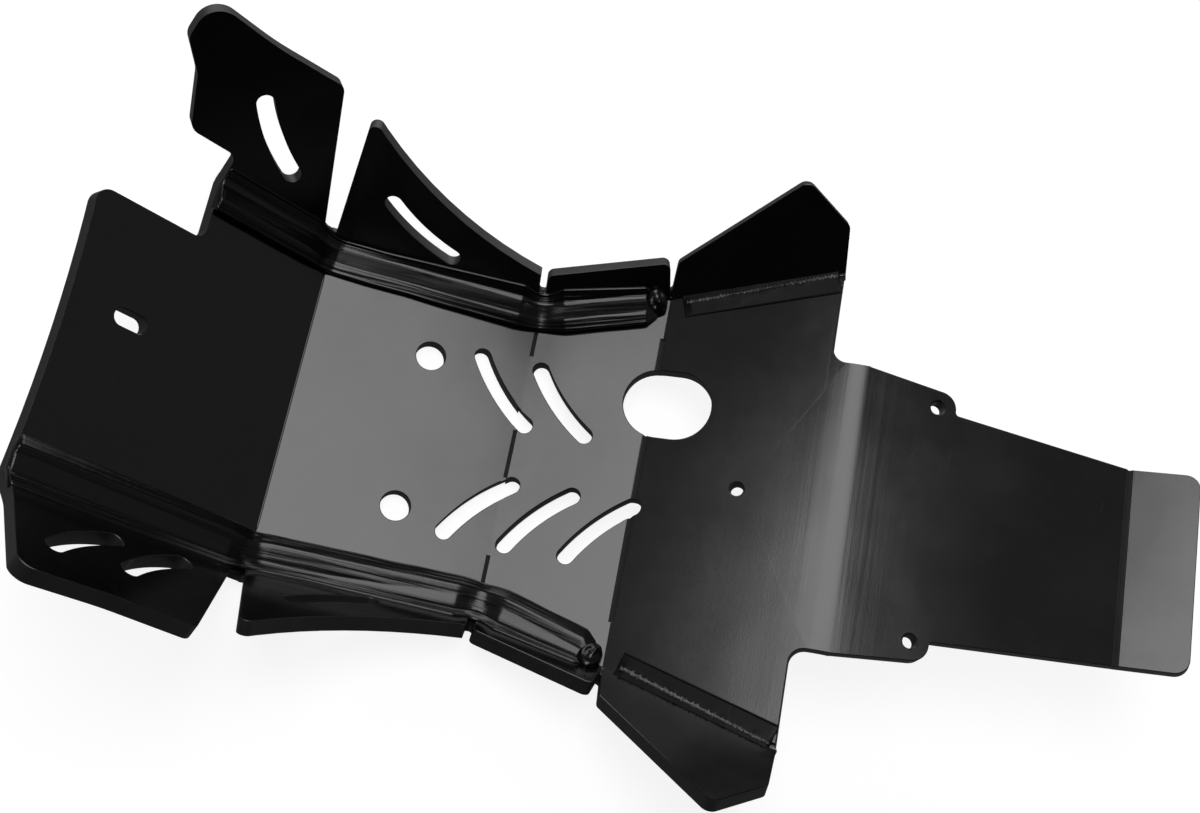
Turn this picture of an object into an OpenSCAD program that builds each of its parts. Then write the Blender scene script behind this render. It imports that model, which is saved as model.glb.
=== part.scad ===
// Motorcycle skid plate: one thick plastic sheet folded into a trough that
// shields the engine from below, with its side folds welded on the inside.
// Millimetres. +X runs to the tail, +Y to the bitten front corner, +Z is up. The
// origin is halfway between the two drain holes, on the inner face of the floor.

/* [Sheet] */
// Thickness of the sheet
sheet = 8; // [6:0.5:9]

/* [Spine] */
// Slope length of the front panel
front_length = 138.5; // [132:0.5:160]
// Rise of the front panel toward its front edge, degrees
front_rise = 35; // [25:1:42]
// How far the middle of the front edge is hollowed
front_hollow = 3; // [0.5:0.5:6]
// Length of the floor between its two creases
floor_length = 120; // [114:1:140]
// Length of the ramp behind the floor
ramp_length = 70; // [66:1:90]
// Rise of the ramp, degrees
ramp_rise = 13.5; // [8:0.5:18]
// Length of the shoulder panel that carries the ears
shoulder_length = 93.7; // [88:0.1:110]
// Rise of the shoulder, degrees
shoulder_rise = 21.5; // [19:0.5:26]
// Inside radius of the bend between the shoulder and the tail
neck_radius = 40; // [30:1:60]
// Rise of the tail, degrees
tail_rise = 5; // [2:0.5:10]
// Length of the tail from the neck bend to the lip crease
tail_length = 150.7; // [140:0.1:180]
// Length of the turned-up lip
lip_length = 37; // [25:1:50]
// Rise of the lip, degrees
lip_rise = 27; // [18:1:40]

/* [Widths] */
// Half width of the front panel and of the front of the floor
front_half = 92; // [90:1:104]
// Half width of the floor at its rear crease
floor_half = 90; // [88:1:98]
// Half width at the crease between the ramp and the shoulder
ramp_half = 105; // [102:1:112]
// Half width at the rear edge of the shoulder
shoulder_half = 133; // [126:1:140]
// Half width of the neck
neck_half = 80; // [77:1:84]
// Half width at the lip
lip_half = 54.8; // [45:0.1:58]

/* [Bitten corner] */
// Distance of the bite from the first crease, along the front panel
bite_start = 76; // [72:1:80]
// Half width of the front panel beside the bite
bite_half = 57.5; // [50:0.5:62]
// Height of the bite up the side wing
bite_height = 15.5; // [13:0.5:18]
// Length of the level edge over the bite
bite_run = 31; // [26:1:36]
// Place of the step in the wing's edge, forward of and above the bite's corner
bite_step = [47, 27]; // [24:1:50]
// Height of the wing's nose above the level edge
bite_nose = 40.5; // [36:0.5:44]

/* [Front wings] */
// Fold of the front wings, degrees
front_wing_fold = 50; // [44:1:56]
// Height of the front wings above their fold
front_wing_height = 79; // [74:1:84]
// Dip in the middle of their upper edge
front_wing_dip = 2.2; // [0.5:0.1:3]
// Where the rear edge leaves the notch and where it meets the upper edge
front_wing_rear = [10.5, 57.5]; // [8:0.5:62]
// How far the bitten wing and the full wing reach past the front panel
front_wing_reach = [3, 11]; // [2:0.5:14]

/* [Middle wings] */
// Fold of the middle wings, degrees
middle_wing_fold = 60; // [54:1:66]
// Height of the sharp corner before it is rounded
middle_wing_height = 86; // [80:0.5:92]
// Height of the rear edge
middle_wing_low = 18.4; // [14:0.2:22]
// Hollow of the long upper edge
middle_wing_hollow = 9.4; // [4:0.1:11]

/* [Low wings and ears] */
// Fold of the low wings beside the ramp, degrees
low_wing_fold = 55; // [48:1:60]
// Height of the low wings at their front and at their rear
low_wing_height = [18, 23.8]; // [14:0.2:28]
// Fold of the ears, degrees
ear_fold = 42; // [36:1:48]
// Height of the ears at their front, their peak and their rear
ear_height = [20.6, 54.7, 25.8]; // [16:0.1:60]
// Distance of the ears' peak ahead of their rear root
ear_peak_back = 12.5; // [8:0.5:20]
// How far the ears lean past the shoulder
ear_lean = 6.4; // [2:0.1:9]

/* [Notches] */
// Height of the notches between the wings
notch_height = 5.5; // [4:0.5:7]

/* [Holes] */
// Diameter of the two drain holes in the floor
drain_d = 16; // [10:0.5:20]
// Distance of the drain holes behind the first crease
drain_x = 66.2; // [50:0.2:70]
// Half the spacing of the drain holes
drain_half = 43.3; // [36:0.1:56]
// Width of the oblong bolt hole in the front panel
front_bolt_d = 9; // [6:0.5:12]
// Travel of a bolt along the oblong hole
front_bolt_travel = 9.5; // [4:0.5:14]
// Distance of the oblong hole's middle from the first crease
front_bolt_x = 101.3; // [92:0.1:108]
// Diameter of the bolt holes in the shoulder and the tail
bolt_d = 7; // [5:0.5:8]
// Width of the chamfer round those holes
bolt_chamfer = 1; // [0.5:0.1:1.5]
// Distance of the shoulder bolt hole behind the crease
shoulder_bolt_x = 53.7; // [46:0.1:66]
// Distance of the tail bolt holes from the neck bend
tail_bolt_x = 40.4; // [34:0.1:50]
// Half the spacing of the tail bolt holes
tail_bolt_half = 65.1; // [63:0.1:67]
// Sheet behind and beside each tail bolt hole
lobe_margin = [10.5, 8.8]; // [8.5:0.1:11]
// How far the tail is drawn in behind its bolt holes
waist_step = 1.9; // [1.6:0.1:4]

/* [Oval opening] */
// Length of the oval opening across the ramp's rear crease
oval_length = 48.5; // [42:0.5:52]
// Width of the oval opening
oval_width = 39.2; // [30:0.2:42]
// Distance of its middle from the centreline
oval_y = 43; // [40:0.5:48]
// Distance of its middle behind the crease
oval_x = 8.8; // [4:0.2:12]

/* [Vent slots] */
// Width of the vent slots in the floor and the ramp
vent_width = 9; // [6:0.5:11]
// Pitch of the slots along the spine
vent_pitch = 33; // [30:1:35]
// Slots on the side without the oval opening
vent_count = 3; // [2:1:3]
// Distance of a slot's outer end and inner end from the centreline
vent_reach = [50.5, 17.5]; // [14:0.5:54]
// Distance of the first slot's outer end and inner end behind the ramp's front crease
vent_first = [-26, 4.2]; // [-30:0.2:8]
// Bulge of a slot toward the front
vent_bulge = 2.4; // [1:0.1:5]

/* [Wing slots] */
// Width of the slots in the wings
wing_slot_width = 9.5; // [6:0.5:11]
// Upper end of the slots in the front wings, along and above their fold
front_slot_high = [85, 48.5]; // [44:0.5:88]
// Lower end of those slots
front_slot_low = [47, 23]; // [20:0.5:50]
// Step from the slot that both front wings have to the full wing's second one
front_slot_step = [40, 3]; // [0:1:44]
// Upper end of the slots in the middle wings, along and above their fold
middle_slot_high = [26, 37]; // [24:0.5:40]
// Lower end of those slots
middle_slot_low = [64, 13.5]; // [12:0.5:68]
// Bulge of the wing slots toward the fold
wing_slot_bulge = 2.2; // [0.5:0.1:4]

/* [Weld beads] */
// Leg of the weld on the panels
weld_leg = 16; // [12:0.5:18]
// Height of the weld on the wings
weld_height = 9; // [7:0.5:10]
// Height of the weld at the front end of the full wing
weld_front_height = 12; // [8:0.5:14]
// Crown of the weld above a flat fillet
weld_crown = 0.8; // [0.4:0.1:1.6]
// How far its side on the panels bulges, as its side on the wings is hollowed
weld_bulge = 1.6; // [0.4:0.1:2]

/* [Crease grooves] */
// Width of the routed grooves along the creases
groove_width = 2.6; // [1.6:0.1:4]
// Depth of the routed grooves
groove_depth = 1.3; // [0.6:0.1:2]

/* [Hidden] */
sheet_colour = "#202124";
tight_corner = 2;
small_corner = 4;
middle_corner = 6;
wide_corner = 8;
soft_corner = 12;
gentle_corner = 60;
flat_corner = 160;
overlap = 1;
hair = 0.02;
seam = 0.2;
arc_step = 7.5;
arc_fewest = 4;
bow_steps = 10;
crown_steps = 8;
weld_sink = 0.6;
weld_root = 3;
weld_dip = 0.8;
weld_tail = [[0.8, 1, 1], [0.6, 0.7, 0.6], [0.4, 0.5, 0.3]];
whole_groove = 1;
half_groove = 0.5;
$fn = 64;

neck_turn = shoulder_rise - tail_rise;
floor_lap = sheet * tan(front_rise / 2);
ramp_lap = overlap + sheet * tan(ramp_rise / 2) / 2;
shoulder_lap = overlap + sheet * tan((shoulder_rise - ramp_rise) / 2) / 2;
neck_flat = shoulder_length + wide_corner + overlap;
ramp_start = [floor_length, 0];
shoulder_start = ramp_start + ramp_length * [cos(ramp_rise), sin(ramp_rise)];
neck_start = shoulder_start + neck_flat * [cos(shoulder_rise), sin(shoulder_rise)];
neck_centre = neck_start + neck_radius * [sin(shoulder_rise), -cos(shoulder_rise)];
tail_start = neck_centre + neck_radius * [-sin(tail_rise), cos(tail_rise)];
lip_start = tail_start + tail_length * [cos(tail_rise), sin(tail_rise)];
floor_fold_length = norm([floor_length, front_half - floor_half]);
ramp_fold_length = norm([ramp_length, ramp_half - floor_half]);
ear_length = norm([shoulder_length, shoulder_half - ramp_half]);

// The frame of a spine panel that starts at a crease and rises to the rear
function slope(crease, rise) = [
    [cos(rise), 0, -sin(rise), crease[0]],
    [0, 1, 0, 0],
    [sin(rise), 0, cos(rise), crease[1]],
    [0, 0, 0, 1]
];

// The frame of a fold line that runs over a panel from one point to another
function along(from, to) =
    let (run = (to - from) / norm(to - from))
    [
        [run[0], -run[1], 0, from[0]],
        [run[1], run[0], 0, from[1]],
        [0, 0, 1, 0],
        [0, 0, 0, 1]
    ];

// The turn about a fold line that stands a wing up from its panel
function stood(fold) = [
    [1, 0, 0, 0],
    [0, cos(fold), -sin(fold), 0],
    [0, sin(fold), cos(fold), 0],
    [0, 0, 0, 1]
];

backward = [[-1, 0, 0, 0], [0, 1, 0, 0], [0, 0, 1, 0], [0, 0, 0, 1]];
front_frame = backward * slope([0, 0], front_rise);
floor_frame = slope([0, 0], 0);
ramp_frame = slope(ramp_start, ramp_rise);
shoulder_frame = slope(shoulder_start, shoulder_rise);
tail_frame = slope(tail_start, tail_rise);
lip_frame = slope(lip_start, lip_rise);

front_fold = [
    front_frame,
    along([0, front_half], [front_length, front_half]),
    front_wing_fold
];
floor_fold = [
    floor_frame,
    along([0, front_half + seam], [floor_length, floor_half + seam]),
    middle_wing_fold
];
ramp_fold = [
    ramp_frame,
    along([0, floor_half], [ramp_length, ramp_half]),
    low_wing_fold
];
shoulder_fold = [
    shoulder_frame,
    along([0, ramp_half + seam], [shoulder_length, shoulder_half + seam]),
    ear_fold
];

function unit(v) = v / norm(v);
function flat(p) = [p[0], p[1]];

// Points on an arc round a centre
function arc(centre, radius, from, sweep) =
    let (steps = max(arc_fewest, ceil(abs(sweep) / arc_step)))
    [
        for (i = [0:steps])
            let (turn = from + sweep * i / steps)
            centre + radius * [cos(turn), sin(turn)]
    ];

// One corner of an outline, rounded where it has a radius as its third value
function rounded(before, here, after) =
    len(here) < 3 ? [here] :
    let (
        back = unit(flat(before) - flat(here)),
        ahead = unit(flat(after) - flat(here)),
        half = acos(back * ahead) / 2,
        centre = flat(here) + unit(back + ahead) * here[2] / sin(half),
        start = flat(here) + back * here[2] / tan(half) - centre
    )
    arc(centre, here[2], atan2(start[1], start[0]), sign(cross(ahead, back)) * (180 - 2 * half));

// A closed outline with its corners rounded as they ask
function outline(corners) =
    let (n = len(corners))
    [
        for (i = [0:n - 1])
            each rounded(corners[(i + n - 1) % n], corners[i], corners[(i + 1) % n])
    ];

// Centre, radius, start and sweep of the arc that bulges to the left of its way
function bow(from, to, bulge) =
    let (
        half = norm(to - from) / 2,
        radius = (half * half + bulge * bulge) / (2 * bulge),
        way = unit(to - from),
        centre = (from + to) / 2 + (radius - bulge) * [way[1], -way[0]],
        start = from - centre
    )
    [centre, radius, atan2(start[1], start[0]), -2 * asin(half / radius)];

// A point of a bow, or of one set off from it
function on_bow(b, offset, i) =
    let (turn = b[2] + b[3] * i / bow_steps)
    b[0] + (b[1] + offset) * [cos(turn), sin(turn)];

// The points of a bowed edge between its two ends
function bowed_edge(from, to, bulge) =
    let (b = bow(from, to, bulge))
    [for (i = [1:bow_steps - 1]) on_bow(b, 0, i)];

// A bowed slot with round ends, from one end's centre to the other's
function bowed_slot(from, to, bulge, width) =
    let (b = bow(from, to, bulge))
    concat(
        [for (i = [1:bow_steps - 1]) on_bow(b, width / 2, i)],
        arc(to, width / 2, b[2] + b[3], -180),
        [for (i = [bow_steps - 1:-1:1]) on_bow(b, -width / 2, i)],
        arc(from, width / 2, b[2] + 180, -180)
    );

// A straight slot with round ends that runs along +X
function straight_slot(middle, travel, width) =
    concat(
        arc(middle + [travel / 2, 0], width / 2, -90, 180),
        arc(middle - [travel / 2, 0], width / 2, 90, 180)
    );

module both_sides() {
    children();
    mirror([0, 1, 0])
        children();
}

// Sheet with its inner face on the zero plane of the frame it is in
module plate(corners) {
    translate([0, 0, -sheet])
        linear_extrude(sheet)
            polygon(outline(corners));
}

// Section of a bend: its round outer skin, lapped into the sheet on each side
// and a hair thinner than it
function bend_section(turn) =
    let (
        way = [cos(turn), sin(turn)],
        out = [sin(turn), -cos(turn)],
        thick = sheet - hair
    )
    concat(
        [
            [-overlap, -hair],
            hair * ([0, -1] + out) / (1 + cos(turn)),
            overlap * way + hair * out,
            overlap * way + thick * out
        ],
        arc([0, 0], thick, turn - 90, -turn),
        [[-overlap, -thick]]
    );

// Bend along a fold line, run on past its ends to close the outer corners
module fold_bend(length, fold, before, after) {
    translate([-before, 0, 0])
        rotate([90, 0, 90])
            linear_extrude(length + before + after)
                polygon(bend_section(fold));
}

// Bend across the spine, where the frame it is in begins
module crease_bend(half_width, turn) {
    rotate([0, turn, 0])
        translate([0, half_width, 0])
            rotate([90, 0, 0])
                linear_extrude(2 * half_width)
                    polygon(bend_section(turn));
}

module front_panel() {
    side = front_half + overlap;
    multmatrix(front_frame)
        plate(concat(
            [[-overlap, side], [-overlap, -side], [front_length, -side]],
            bowed_edge([front_length, -front_half], [front_length, bite_half], front_hollow),
            [
                [front_length, bite_half, wide_corner],
                [bite_start, bite_half, middle_corner],
                [bite_start, side]
            ]
        ));
}

// A panel between two creases, lapped over both and over its side folds
module spine_panel(length, from_half, to_half) {
    from = from_half + overlap;
    to = to_half + overlap;
    plate([
        [-overlap, -from],
        [length + overlap, -to],
        [length + overlap, to],
        [-overlap, from]
    ]);
}

module floor_panel() {
    spine_panel(floor_length, front_half, floor_half);
    crease_bend(front_half, front_rise);
}

module ramp_panel() {
    multmatrix(ramp_frame) {
        spine_panel(ramp_length, floor_half, ramp_half);
        crease_bend(floor_half, ramp_rise);
    }
}

module shoulder_panel() {
    rear = shoulder_half + overlap / 2;
    multmatrix(shoulder_frame) {
        plate([
            [-overlap, -ramp_half - overlap],
            [shoulder_length, -rear],
            [shoulder_length, -neck_half, wide_corner],
            [neck_flat, -neck_half],
            [neck_flat, neck_half],
            [shoulder_length, neck_half, wide_corner],
            [shoulder_length, rear],
            [-overlap, ramp_half + overlap]
        ]);
        crease_bend(ramp_half, shoulder_rise - ramp_rise);
    }
}

module neck_bend() {
    top = arc([0, -neck_radius], neck_radius - hair, 90 + neck_turn, -neck_turn);
    under = arc([0, -neck_radius], neck_radius - sheet + hair, 90, neck_turn);
    lead = overlap * [cos(neck_turn), sin(neck_turn)];
    multmatrix(tail_frame)
        translate([0, neck_half, 0])
            rotate([90, 0, 0])
                linear_extrude(2 * neck_half)
                    polygon(concat(
                        [top[0] - lead],
                        top,
                        [[overlap, -hair], [overlap, hair - sheet]],
                        under,
                        [under[len(under) - 1] - lead]
                    ));
}

module tail_panel() {
    lobe = [tail_bolt_x, tail_bolt_half] + lobe_margin;
    waist = tail_bolt_half - waist_step;
    multmatrix(tail_frame)
        plate([
            [0, -neck_half],
            [lobe[0], -lobe[1], lobe_margin[0] - overlap],
            [lobe[0], -waist, tight_corner],
            [tail_length + overlap, -lip_half],
            [tail_length + overlap, lip_half],
            [lobe[0], waist, tight_corner],
            [lobe[0], lobe[1], lobe_margin[0] - overlap],
            [0, neck_half]
        ]);
}

module lip_panel() {
    multmatrix(lip_frame) {
        plate([
            [-overlap, -lip_half],
            [lip_length, -lip_half, wide_corner],
            [lip_length, lip_half, wide_corner],
            [-overlap, lip_half]
        ]);
        crease_bend(lip_half, lip_rise - tail_rise);
    }
}

// What stands in the frame of a fold line, and what stands in that of its wing
module on_fold(line) {
    multmatrix(line[0])
        multmatrix(line[1])
            children();
}

module on_wing(line) {
    on_fold(line)
        multmatrix(stood(line[2]))
            children();
}

// A wing that stands on a fold line, with the bend of its fold
module wing(line, root, before, after, corners) {
    on_fold(line)
        fold_bend(root, line[2], before, after);
    on_wing(line)
        plate(corners);
}

// The upper and rear edges that both front wings have, from the front corner
function front_wing_top(front, corner_radius) = [
    [front, front_wing_height, corner_radius],
    [(front + front_wing_rear[1]) / 2, front_wing_height - front_wing_dip, flat_corner],
    [front_wing_rear[1], front_wing_height, middle_corner],
    [front_wing_rear[0], notch_height, tight_corner],
    [-floor_lap, notch_height],
    [-floor_lap, -overlap]
];

// The front wing over the bitten corner
module bitten_wing() {
    level = bite_start + tight_corner;
    root = bite_start - seam;
    wing(front_fold, root, floor_lap, 0, concat(
        [
            [root, -overlap],
            [root, 0],
            [level, bite_height, middle_corner],
            [bite_start + bite_run, bite_height, wide_corner],
            [bite_start + bite_step[0], bite_height + bite_step[1], soft_corner],
            [front_length, bite_height + bite_nose, wide_corner]
        ],
        front_wing_top(front_length + front_wing_reach[0], soft_corner)
    ));
}

// The front wing that runs to the front edge
module full_wing() {
    root = front_length - seam;
    wing(front_fold, root, floor_lap, 0, concat(
        [
            [root, -overlap],
            [root, weld_leg, gentle_corner]
        ],
        front_wing_top(front_length + front_wing_reach[1], wide_corner)
    ));
}

module middle_wing() {
    rear = [floor_fold_length - middle_corner, middle_wing_low];
    peak = [small_corner, middle_wing_height];
    wing(floor_fold, floor_fold_length, floor_lap, ramp_lap, concat(
        [
            [-floor_lap, -overlap],
            [floor_fold_length + ramp_lap, -overlap],
            [floor_fold_length + ramp_lap, notch_height],
            [floor_fold_length - small_corner, notch_height, tight_corner],
            rear
        ],
        bowed_edge(rear, peak, middle_wing_hollow),
        [
            [peak[0], peak[1], small_corner],
            [0, notch_height],
            [-floor_lap, notch_height]
        ]
    ));
}

module low_wing() {
    wing(ramp_fold, ramp_fold_length, ramp_lap, shoulder_lap, [
        [-ramp_lap, -overlap],
        [ramp_fold_length + shoulder_lap, -overlap],
        [ramp_fold_length + shoulder_lap, tight_corner],
        [ramp_fold_length, tight_corner],
        [ramp_fold_length, low_wing_height[1], small_corner],
        [small_corner, low_wing_height[0], small_corner],
        [tight_corner, notch_height, tight_corner],
        [-ramp_lap, notch_height]
    ]);
}

module ear() {
    rear = ear_length + overlap / 2;
    wing(shoulder_fold, rear, shoulder_lap, 0, [
        [-shoulder_lap, -overlap],
        [rear, -overlap],
        [ear_length + ear_lean, ear_height[2], small_corner],
        [ear_length - ear_peak_back, ear_height[1], middle_corner],
        [wide_corner, ear_height[0], small_corner],
        [tight_corner, notch_height, tight_corner],
        [-shoulder_lap, notch_height]
    ]);
}

// Cutter for a hole drawn on a panel, deep enough to pass through the sheet
module through(points) {
    translate([0, 0, -sheet - overlap])
        linear_extrude(sheet + 2 * overlap)
            polygon(points);
}

module bolt_hole() {
    translate([0, 0, -sheet - overlap])
        cylinder(h = sheet + 2 * overlap, d = bolt_d);
    translate([0, 0, -bolt_chamfer])
        cylinder(h = 2 * bolt_chamfer, d1 = bolt_d, d2 = bolt_d + 4 * bolt_chamfer);
}

module drain_holes() {
    both_sides()
        translate([drain_x, drain_half, -sheet - overlap])
            cylinder(h = sheet + 2 * overlap, d = drain_d);
}

// The vent slots and the oval opening as they lie on the flat sheet, from the
// crease between the floor and the ramp
module flat_openings(shift) {
    translate([shift, 0, 0]) {
        for (i = [0:vent_count - 1])
            through(bowed_slot(
                [vent_first[0] + i * vent_pitch, -vent_reach[0]],
                [vent_first[1] + i * vent_pitch, -vent_reach[1]],
                vent_bulge,
                vent_width
            ));
        mirror([0, 1, 0])
            for (i = [0:vent_count - 2])
                through(bowed_slot(
                    [vent_first[0] + i * vent_pitch, -vent_reach[0]],
                    [vent_first[1] + i * vent_pitch, -vent_reach[1]],
                    vent_bulge,
                    vent_width
                ));
        through(straight_slot([ramp_length + oval_x, oval_y], oval_length - oval_width, oval_width));
    }
}

// The openings on one panel, cut only between two distances along it
module panel_openings(frame, shift, from, to) {
    multmatrix(frame)
        intersection() {
            flat_openings(shift);
            translate([from, -ramp_half, -2 * sheet])
                cube([to - from, 2 * ramp_half, 4 * sheet]);
        }
}

module spine_openings() {
    panel_openings(floor_frame, floor_length, 0, floor_length + ramp_lap);
    panel_openings(ramp_frame, 0, -ramp_lap, ramp_length + shoulder_lap);
    panel_openings(shoulder_frame, -ramp_length, -shoulder_lap, shoulder_length);
}

module bolt_holes() {
    multmatrix(front_frame)
        through(straight_slot([front_bolt_x, 0], front_bolt_travel, front_bolt_d));
    multmatrix(shoulder_frame)
        translate([shoulder_bolt_x, 0, 0])
            bolt_hole();
    multmatrix(tail_frame)
        both_sides()
            translate([tail_bolt_x, tail_bolt_half, 0])
                bolt_hole();
}

module front_wing_slot(step) {
    on_wing(front_fold)
        through(bowed_slot(
            front_slot_high + step,
            front_slot_low + step,
            wing_slot_bulge,
            wing_slot_width
        ));
}

module wing_slots() {
    both_sides() {
        front_wing_slot([0, 0]);
        on_wing(floor_fold)
            through(bowed_slot(middle_slot_low, middle_slot_high, wing_slot_bulge, wing_slot_width));
    }
    mirror([0, 1, 0])
        front_wing_slot(front_slot_step);
}

// Routed V groove across the spine, between two distances from the centreline
module groove(crease, rise, from, to, size) {
    depth = groove_depth * size;
    half = groove_width * size / 2;
    multmatrix(slope(crease, rise))
        translate([0, to, 0])
            rotate([90, 0, 0])
                linear_extrude(to - from)
                    polygon([[0, -depth], [2 * half, depth], [-2 * half, depth]]);
}

// Scored line over a shoulder, beside the fold of its ear
module ear_score(gap) {
    on_fold(shoulder_fold)
        translate([wide_corner, -gap, 0])
            rotate([90, 0, 90])
                linear_extrude(ear_length)
                    polygon([
                        [0, -groove_depth / 2],
                        [groove_width / 2, groove_depth / 2],
                        [-groove_width / 2, groove_depth / 2]
                    ]);
}

module grooves() {
    ramp_crease = ramp_rise / 2;
    shoulder_crease = (ramp_rise + shoulder_rise) / 2;
    lip_crease = (tail_rise + lip_rise) / 2;
    clear = ramp_half - weld_leg - wide_corner;
    middle = vent_reach[1] - small_corner;
    side = floor_half - weld_leg;
    groove(shoulder_start, shoulder_crease, -clear, clear, whole_groove);
    groove(lip_start, lip_crease, -lip_half - overlap, lip_half + overlap, whole_groove);
    groove(ramp_start, ramp_crease, -side, weld_leg - side, half_groove);
    groove(ramp_start, ramp_crease, -middle, middle, half_groove);
    groove(ramp_start, ramp_crease, side - weld_leg, side, half_groove);
    both_sides() {
        ear_score(wide_corner);
        ear_score(tight_corner);
    }
}

function flat3(p) = [p[0], p[1], p[2]];
function spot(frame, p) = flat3(frame * [p[0], p[1], p[2], 1]);
function heading(frame) = flat3(frame * [0, 0, 1, 0]);

// One station of a weld bead: the fold's point, the toes on the panel and on
// the wing, and the two inner normals there
function station(line, s, leg, height) =
    let (
        panel = line[0] * line[1],
        wing = panel * stood(line[2])
    )
    [
        spot(panel, [s, 0, 0]),
        spot(panel, [s, -leg, 0]),
        spot(wing, [s, height, 0]),
        heading(panel),
        heading(wing)
    ];

// The station in a crease, halfway between those of the two folds that meet
function mitre(a, b) =
    [
        a[0],
        (a[1] + b[1]) / 2,
        (a[2] + b[2]) / 2,
        unit(a[3] + b[3]),
        unit(a[4] + b[4])
    ];

// The ring of points round the bead at a station: a top that is fuller or
// flatter by a share, and a root that is sunk in the sheet
function bead_ring(st, share) =
    let (
        toe = st[1] - weld_sink * st[3],
        tip = st[2] - weld_sink * st[4],
        out = unit(st[3] + st[4]),
        root = weld_root / (1 + st[3] * st[4])
    )
    concat(
        [
            for (i = [0:crown_steps])
                let (
                    u = i / crown_steps,
                    rise = weld_crown * sin(180 * u) + weld_bulge * sin(360 * u)
                )
                toe * (1 - u) + tip * u + out * rise * share
        ],
        [
            st[2] - weld_root * st[4],
            st[0] - root * (st[3] + st[4]),
            st[1] - weld_root * st[3]
        ]
    );

// A weld bead lofted through its stations, with a share of fullness for each
module bead(stations, shares) {
    rings = [for (i = [0:len(stations) - 1]) bead_ring(stations[i], shares[i])];
    n = len(rings[0]);
    last = len(rings) - 1;
    corner = n - 2;
    rim = [for (j = [0:n - 1]) if (j != corner && j + 1 != corner) [j, (j + 1) % n]];
    polyhedron(
        points = [for (ring = rings) each ring],
        faces = concat(
            [for (edge = rim) [corner, edge[1], edge[0]]],
            [for (edge = rim) [for (j = [corner, edge[0], edge[1]]) last * n + j]],
            [
                for (i = [0:last - 1], j = [0:n - 1])
                    let (k = (j + 1) % n)
                    each [
                        [i * n + j, (i + 1) * n + k, (i + 1) * n + j],
                        [i * n + j, i * n + k, (i + 1) * n + k]
                    ]
            ]
        )
    );
}

// The bead of one side, from its front end to its blunt end at the ear's notch
module side_bead(front_end, front_height) {
    low = weld_dip * notch_height;
    after_notch = front_wing_rear[0] + middle_corner;
    at_floor = mitre(
        station(front_fold, 0, weld_leg, low),
        station(floor_fold, 0, weld_leg, low)
    );
    at_ramp = mitre(
        station(floor_fold, floor_fold_length, weld_leg, low),
        station(ramp_fold, 0, weld_leg, low)
    );
    end = ramp_fold_length - middle_corner;
    tail = [end - wide_corner, end - tight_corner, end];
    bead(
        [
            station(front_fold, front_end, weld_leg, front_height),
            station(front_fold, after_notch, weld_leg, weld_height),
            at_floor,
            station(floor_fold, floor_length / 4, weld_leg, low),
            station(floor_fold, floor_length - soft_corner, weld_leg, weld_height),
            at_ramp,
            station(ramp_fold, soft_corner, weld_leg, weld_height),
            for (i = [0:2])
                let (share = weld_tail[i])
                station(ramp_fold, tail[i], share[0] * weld_leg, share[1] * weld_height)
        ],
        [
            for (i = [0:6])
                1,
            for (share = weld_tail)
                share[2]
        ]
    );
}

module folded_sheet() {
    front_panel();
    floor_panel();
    ramp_panel();
    shoulder_panel();
    neck_bend();
    tail_panel();
    lip_panel();
    bitten_wing();
    mirror([0, 1, 0])
        full_wing();
    both_sides() {
        middle_wing();
        low_wing();
        ear();
    }
}

module weld_beads() {
    side_bead(bite_start - overlap, weld_height);
    mirror([0, 1, 0])
        side_bead(front_length - overlap, weld_front_height);
}

module skid_plate() {
    color(sheet_colour)
        translate([-drain_x, 0, 0])
            difference() {
                union() {
                    folded_sheet();
                    weld_beads();
                }
                drain_holes();
                bolt_holes();
                spine_openings();
                wing_slots();
                grooves();
            }
}

skid_plate();
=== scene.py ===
"""Looks of a motorcycle skid plate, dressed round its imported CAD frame.

The plate is one thick sheet of black plastic, folded into a trough and welded
on the inside of its side folds. The sheet stands for the CAD node with its
edges broken. The welds, their blunt ends, the scored bands and the burrs along
the ears' folds and the line in the front crease are pieces of their own.
Sizes are in millimetres and the scene in metres, in the CAD's frame.
"""

import logging
import math
from collections.abc import Callable
from dataclasses import dataclass, field
from enum import Enum

import bmesh
import bpy
from mathutils import Matrix, Vector, noise
from mathutils.bvhtree import BVHTree


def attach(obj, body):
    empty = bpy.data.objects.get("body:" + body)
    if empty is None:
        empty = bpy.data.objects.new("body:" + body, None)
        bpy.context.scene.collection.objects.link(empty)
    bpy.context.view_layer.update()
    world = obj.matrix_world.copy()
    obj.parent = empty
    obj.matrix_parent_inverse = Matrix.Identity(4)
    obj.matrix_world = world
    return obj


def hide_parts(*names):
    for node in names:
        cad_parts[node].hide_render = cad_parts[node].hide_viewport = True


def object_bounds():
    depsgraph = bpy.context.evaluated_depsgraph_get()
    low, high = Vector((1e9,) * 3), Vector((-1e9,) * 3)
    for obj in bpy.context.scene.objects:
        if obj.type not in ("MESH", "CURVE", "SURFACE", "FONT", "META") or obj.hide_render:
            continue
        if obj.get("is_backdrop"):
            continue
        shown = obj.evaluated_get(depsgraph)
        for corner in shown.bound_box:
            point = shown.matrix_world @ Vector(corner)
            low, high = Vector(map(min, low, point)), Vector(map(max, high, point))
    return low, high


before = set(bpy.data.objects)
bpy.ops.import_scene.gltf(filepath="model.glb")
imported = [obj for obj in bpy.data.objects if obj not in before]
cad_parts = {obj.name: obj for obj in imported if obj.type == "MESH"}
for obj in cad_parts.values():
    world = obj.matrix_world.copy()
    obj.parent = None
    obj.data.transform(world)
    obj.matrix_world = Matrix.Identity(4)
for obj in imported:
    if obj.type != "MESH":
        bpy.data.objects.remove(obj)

LOG = logging.getLogger("skid_plate")
MM = 0.001
BODY = "root"
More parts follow.
